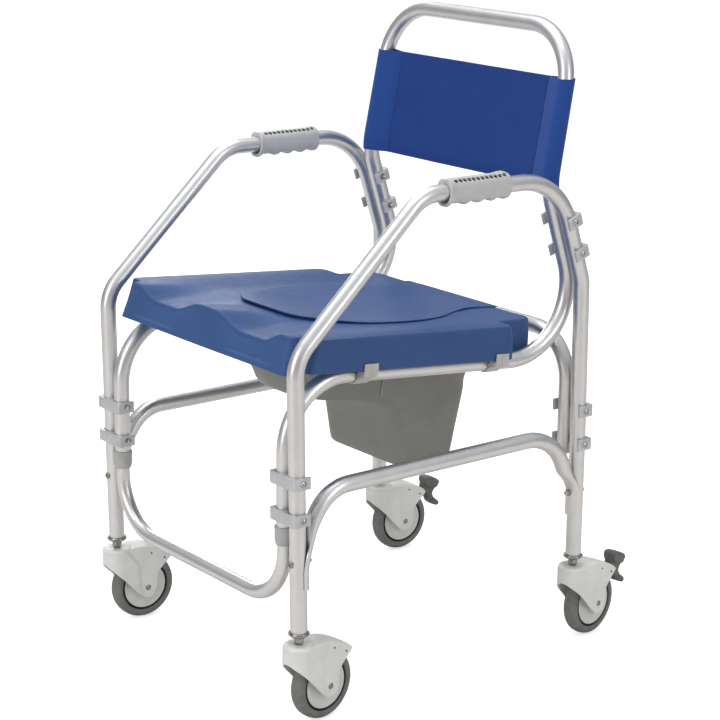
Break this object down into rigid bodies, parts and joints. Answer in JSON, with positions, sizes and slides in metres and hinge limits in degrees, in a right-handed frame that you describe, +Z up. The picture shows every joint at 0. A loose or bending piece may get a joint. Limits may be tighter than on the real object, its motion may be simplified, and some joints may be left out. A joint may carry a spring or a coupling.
{
  "type": "wheeled commode chair",
  "caption": "Wheeled commode chair: bent aluminium tube frame on swivel casters, moulded blue seat with lift-off lid, slide-out pan, fabric backrest and armrest grips.",
  "frame": {"origin": "on the floor, at the middle of the chair's floor outline (the bounding box of the whole chair seen from above)", "axes": "+Z up; the sitter faces -Y and the backrest is on the +Y side; +X is the viewer's right when the chair is seen from the front"},
  "size_m": [0.5498, 0.7008, 0.9971],
  "materials": {
    "aluminium_tube": "satin anodised, drawn tube",
    "clamp_aluminium": "matt extruded and tumbled",
    "bright_steel": "bright zinc and nickel plate",
    "seat_plastic": "blow-moulded, fine grain",
    "sling_fabric": "woven polyester with hemmed edges",
    "pan_plastic": "satin polypropylene",
    "clip_plastic": "moulded, satin",
    "grip_foam": "soft moulded grip, matt",
    "sleeve_plastic": "moulded, matt",
    "caster_plastic": "moulded nylon, satin",
    "tyre_rubber": "non-marking grey rubber",
    "pedal_plastic": "moulded nylon, matt"
  },
  "bodies": {
    "frame": {"side_frame_left": "aluminium_tube", "side_frame_right": "aluminium_tube", "backrest_rail_tube": "aluminium_tube", "rear_cross_tube": "aluminium_tube", "front_u_tube": "aluminium_tube", "side_stretcher_left": "aluminium_tube", "side_stretcher_right": "aluminium_tube", "reducer_sleeve_left": "sleeve_plastic", "reducer_sleeve_right": "sleeve_plastic", "front_clamp_upper_left": "clamp_aluminium", "front_clamp_upper_right": "clamp_aluminium", "front_clamp_lower_left": "clamp_aluminium", "front_clamp_lower_right": "clamp_aluminium", "rear_clamp_upper_left": "clamp_aluminium", "rear_clamp_upper_right": "clamp_aluminium", "rear_clamp_lower_left": "clamp_aluminium", "rear_clamp_lower_right": "clamp_aluminium", "post_clamp_upper_left": "clamp_aluminium", "post_clamp_upper_right": "clamp_aluminium", "post_clamp_lower_left": "clamp_aluminium", "post_clamp_lower_right": "clamp_aluminium", "caster_stem_front_left": "bright_steel", "caster_stem_front_right": "bright_steel", "caster_stem_rear_left": "bright_steel", "caster_stem_rear_right": "bright_steel", "stretcher_bolt_front_left": "bright_steel", "stretcher_bolt_front_right": "bright_steel", "stretcher_bolt_rear_left": "bright_steel", "stretcher_bolt_rear_right": "bright_steel", "seat": "seat_plastic", "backrest_sling": "sling_fabric", "armrest_grip_left": "grip_foam", "armrest_grip_right": "grip_foam", "seat_clip_front_left": "clip_plastic", "seat_clip_front_right": "clip_plastic", "seat_clip_rear_left": "clip_plastic", "seat_clip_rear_right": "clip_plastic", "pan_runner_left": "clip_plastic", "pan_runner_right": "clip_plastic"},
    "lid": {"seat_lid": "seat_plastic"},
    "pan": {"commode_pan": "pan_plastic"},
    "fork_front_left": {"caster_fork_front_left": "caster_plastic", "axle_front_left": "bright_steel"},
    "wheel_front_left": {"wheel_hub_front_left": "caster_plastic", "tyre_front_left": "tyre_rubber"},
    "fork_front_right": {"caster_fork_front_right": "caster_plastic", "axle_front_right": "bright_steel"},
    "wheel_front_right": {"wheel_hub_front_right": "caster_plastic", "tyre_front_right": "tyre_rubber"},
    "fork_rear_left": {"caster_fork_rear_left": "caster_plastic", "axle_rear_left": "bright_steel"},
    "wheel_rear_left": {"wheel_hub_rear_left": "caster_plastic", "tyre_rear_left": "tyre_rubber"},
    "pedal_rear_left": {"brake_pedal_rear_left": "pedal_plastic"},
    "fork_rear_right": {"caster_fork_rear_right": "caster_plastic", "axle_rear_right": "bright_steel"},
    "wheel_rear_right": {"wheel_hub_rear_right": "caster_plastic", "tyre_rear_right": "tyre_rubber"},
    "pedal_rear_right": {"brake_pedal_rear_right": "pedal_plastic"}
  },
  "joints": [
    {"name": "swivel_front_left", "type": "hinge", "parent": "frame", "child": "fork_front_left", "pos_m": [-0.25138, -0.32679, 0.128], "axis": [0, 0, 1], "continuous": true},
    {"name": "roll_front_left", "type": "hinge", "parent": "fork_front_left", "child": "wheel_front_left", "pos_m": [-0.24879, -0.28186, 0.0545], "axis": [0.9983, -0.0576, 0], "continuous": true},
    {"name": "swivel_front_right", "type": "hinge", "parent": "frame", "child": "fork_front_right", "pos_m": [0.25122, -0.32679, 0.128], "axis": [0, 0, 1], "continuous": true},
    {"name": "roll_front_right", "type": "hinge", "parent": "fork_front_right", "child": "wheel_front_right", "pos_m": [0.24605, -0.28208, 0.0545], "axis": [0.9934, 0.1149, 0], "continuous": true},
    {"name": "swivel_rear_left", "type": "hinge", "parent": "frame", "child": "fork_rear_left", "pos_m": [-0.25138, 0.22121, 0.128], "axis": [0, 0, 1], "continuous": true},
    {"name": "roll_rear_left", "type": "hinge", "parent": "fork_rear_left", "child": "wheel_rear_left", "pos_m": [-0.24926, 0.26616, 0.0545], "axis": [0.9989, -0.0471, 0], "continuous": true},
    {"name": "brake_rear_left", "type": "hinge", "parent": "fork_rear_left", "child": "pedal_rear_left", "pos_m": [-0.24777, 0.29763, 0.1022], "axis": [-0.9989, 0.0471, 0], "range_deg": [0, 15]},
    {"name": "swivel_rear_right", "type": "hinge", "parent": "frame", "child": "fork_rear_right", "pos_m": [0.25122, 0.22121, 0.128], "axis": [0, 0, 1], "continuous": true},
    {"name": "roll_rear_right", "type": "hinge", "parent": "fork_rear_right", "child": "wheel_rear_right", "pos_m": [0.24465, 0.26573, 0.0545], "axis": [0.9893, 0.1461, 0], "continuous": true},
    {"name": "brake_rear_right", "type": "hinge", "parent": "fork_rear_right", "child": "pedal_rear_right", "pos_m": [0.24005, 0.29689, 0.1022], "axis": [-0.9893, -0.1461, 0], "range_deg": [0, 15]},
    {"name": "lid_lift", "type": "slide", "parent": "frame", "child": "lid", "axis": [0, 0, 1], "range_m": [0, 0.15]},
    {"name": "pan_slide", "type": "slide", "parent": "frame", "child": "pan", "axis": [0, 0.9957, -0.0931], "range_m": [0, 0.45]}
  ]
}
